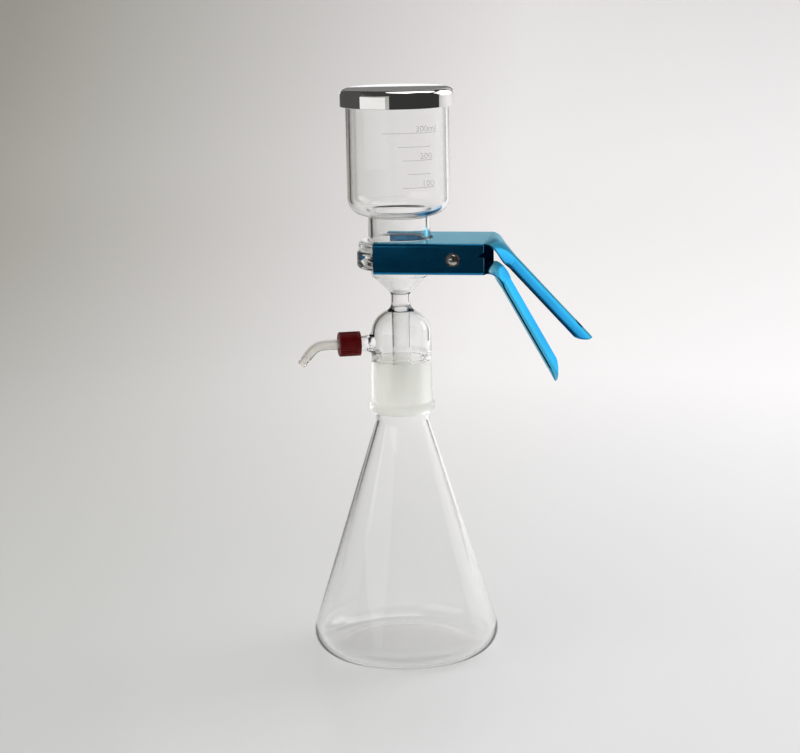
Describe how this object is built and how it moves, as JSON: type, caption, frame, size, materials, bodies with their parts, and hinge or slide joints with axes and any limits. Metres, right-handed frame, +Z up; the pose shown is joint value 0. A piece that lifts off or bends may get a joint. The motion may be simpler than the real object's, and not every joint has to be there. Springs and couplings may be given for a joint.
{
  "type": "vacuum filtration flask set",
  "caption": "Conical vacuum flask with a ground-joint filter base, graduated glass funnel, steel lid, spring clamp and a screw-capped hose connector.",
  "frame": {"origin": "centre of the flask's flat bottom ring, on the plane the flask stands on", "axes": "+Z up along the glassware's axis, +X along the clamp's handles, +Y to the side, away from the front graduations"},
  "size_m": [0.2324, 0.1508, 0.4582],
  "materials": {
    "clear_glass": "clear blown borosilicate glass, ground frosted zones on the joint and on both flange faces",
    "sintered_glass": "white sintered glass",
    "membrane": "matte white membrane",
    "polished_steel": "mirror polished stainless steel",
    "blue_anodised": "satin blue anodised",
    "rivet_steel": "plain rivet steel",
    "spring_steel": "drawn spring wire",
    "red_plastic": "deep red moulded plastic",
    "silicone": "pale silicone",
    "white_plastic": "milky white plastic"
  },
  "bodies": {
    "flask": {"flask": "clear_glass"},
    "filter_head": {"hood": "clear_glass", "drip_tube": "clear_glass", "support_head": "clear_glass", "side_arm": "clear_glass", "frit_disc": "sintered_glass", "membrane_filter": "membrane", "funnel": "clear_glass"},
    "lid": {"lid": "polished_steel"},
    "clamp_pivot": {"pivot_pin": "rivet_steel", "pivot_washers": "rivet_steel", "torsion_spring": "spring_steel"},
    "upper_lever": {"upper_lever": "blue_anodised"},
    "lower_lever": {"lower_lever": "blue_anodised"},
    "arm_seal": {"seal_ring": "silicone"},
    "screw_cap": {"screw_cap": "red_plastic"},
    "hose_connector": {"hose_connector": "white_plastic"}
  },
  "joints": [
    {"name": "head_lift", "type": "slide", "parent": "flask", "child": "filter_head", "axis": [0, 0, 1], "range_m": [0, 0.09]},
    {"name": "lid_lift", "type": "slide", "parent": "filter_head", "child": "lid", "axis": [0, 0, 1], "range_m": [0, 0.06]},
    {"name": "clamp_pull", "type": "slide", "parent": "filter_head", "child": "clamp_pivot", "axis": [1, 0, 0], "range_m": [0, 0.06]},
    {"name": "upper_squeeze", "type": "hinge", "parent": "clamp_pivot", "child": "upper_lever", "pos_m": [0.0473, 0, 0.32727], "axis": [0, 1, 0], "range_deg": [0, 6.5], "stiffness_Nm_per_rad": 2, "springref_deg": -20.05, "deforming": ["torsion_spring"]},
    {"name": "lower_squeeze", "type": "hinge", "parent": "clamp_pivot", "child": "lower_lever", "pos_m": [0.0473, 0, 0.32727], "axis": [0, 1, 0], "range_deg": [-6.5, 0]},
    {"name": "seal_travel", "type": "slide", "parent": "filter_head", "child": "arm_seal", "axis": [-0.9397, -0.342, 0], "range_m": [0, 0.005]},
    {"name": "cap_turn", "type": "hinge", "parent": "arm_seal", "child": "screw_cap", "pos_m": [0, 0, 0.25567], "axis": [-0.9397, -0.342, 0], "range_deg": [0, 720]},
    {"name": "connector_swivel", "type": "hinge", "parent": "arm_seal", "child": "hose_connector", "pos_m": [0, 0, 0.25567], "axis": [-0.9397, -0.342, 0], "continuous": true}
  ],
  "couplings": [
    {"joint": "lower_squeeze", "follows": "upper_squeeze", "ratio": -1},
    {"joint": "seal_travel", "follows": "cap_turn", "m_per_rad": 0.00039789}
  ]
}
